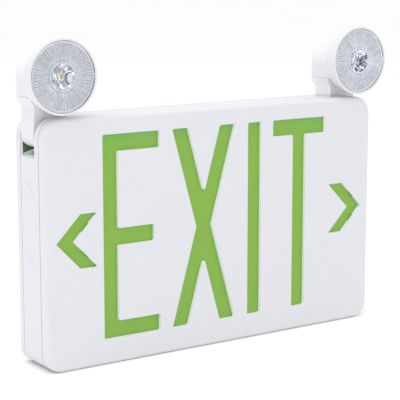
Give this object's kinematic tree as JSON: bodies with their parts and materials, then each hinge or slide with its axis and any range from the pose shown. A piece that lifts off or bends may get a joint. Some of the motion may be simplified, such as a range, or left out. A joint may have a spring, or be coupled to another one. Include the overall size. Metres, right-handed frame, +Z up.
{
  "type": "emergency exit light",
  "caption": "Wall-mounted exit sign with a cut-out legend over a green panel, break-out direction arrows and adjustable round emergency lamps on hinged arms",
  "frame": {"origin": "centre of the bounding box in X and Y, on the flat underside in Z", "axes": "+Z up; the legend faces -Y; +X to the right of a reader who faces the legend"},
  "size_m": [0.3288, 0.0484, 0.2427],
  "materials": {
    "white_shell": "moulded ABS, faint fine grain, satin",
    "green_panel": "translucent green acrylic sheet",
    "white_tray": "white vacuum-formed reflector",
    "white_board": "white solder mask",
    "led_chip": "yellow phosphor in a clear cap",
    "screw_steel": "zinc plated",
    "spring_steel": "rolled strip",
    "circuit_board": "green solder mask on laminate",
    "transformer_steel": "varnished laminations and taped coil",
    "capacitor_sleeve": "shrink sleeve",
    "connector_green": "moulded nylon",
    "connector_white": "moulded nylon",
    "component_black": "moulded epoxy",
    "battery_wrap": "shrink wrap over round cells",
    "lead_sheath": "PVC sheath",
    "button_grey": "moulded, dished",
    "clear_plastic": "clear polycarbonate, fine flutes and rings on the lamp lenses",
    "aluminium_plate": "bright plate"
  },
  "bodies": {
    "body": {"back_plate": "white_shell", "back_plate_screws": "screw_steel", "battery_clip": "spring_steel", "battery_header": "connector_white", "battery_lead": "lead_sheath", "battery_pack": "battery_wrap", "battery_plug": "connector_white", "board_components": "component_black", "board_screws": "screw_steel", "capacitors": "capacitor_sleeve", "front_cover": "white_shell", "green_panel": "green_panel", "housing": "white_shell", "legend_led_boards": "white_board", "legend_leds": "led_chip", "light_tray": "white_tray", "main_board": "circuit_board", "pilot_light": "clear_plastic", "terminal_block": "connector_green", "test_board": "circuit_board", "test_switch": "component_black", "transformer": "transformer_steel", "left_arm_pin": "screw_steel", "left_arm_spring_washer": "spring_steel", "right_arm_pin": "screw_steel", "right_arm_spring_washer": "spring_steel"},
    "test_button": {"test_button": "button_grey"},
    "left_arm": {"left_arm": "white_shell", "left_swivel_stud": "white_shell", "left_swivel_ring": "spring_steel"},
    "left_head": {"left_head_shell": "white_shell", "left_lens": "clear_plastic", "left_heat_sink": "aluminium_plate", "left_led_board": "white_board", "left_led_emitter": "led_chip"},
    "right_arm": {"right_arm": "white_shell", "right_swivel_stud": "white_shell", "right_swivel_ring": "spring_steel"},
    "right_head": {"right_head_shell": "white_shell", "right_lens": "clear_plastic", "right_heat_sink": "aluminium_plate", "right_led_board": "white_board", "right_led_emitter": "led_chip"}
  },
  "joints": [
    {"name": "left_arm_swing", "type": "hinge", "parent": "body", "child": "left_arm", "pos_m": [-0.1369, 0.0072, 0.1704], "axis": [0, -1, 0], "range_deg": [0, 90]},
    {"name": "left_head_swivel", "type": "hinge", "parent": "left_arm", "child": "left_head", "pos_m": [-0.1369, 0.0072, 0.2003], "axis": [0, 0, 1], "range_deg": [-90, 90]},
    {"name": "right_arm_swing", "type": "hinge", "parent": "body", "child": "right_arm", "pos_m": [0.1369, 0.0072, 0.1704], "axis": [0, 1, 0], "range_deg": [0, 90]},
    {"name": "right_head_swivel", "type": "hinge", "parent": "right_arm", "child": "right_head", "pos_m": [0.1369, 0.0072, 0.2003], "axis": [0, 0, 1], "range_deg": [-90, 90]},
    {"name": "test_press", "type": "slide", "parent": "body", "child": "test_button", "axis": [-1, 0, 0], "range_m": [0, 0.0014], "stiffness_N_per_m": 400, "springref_m": -0.002}
  ]
}
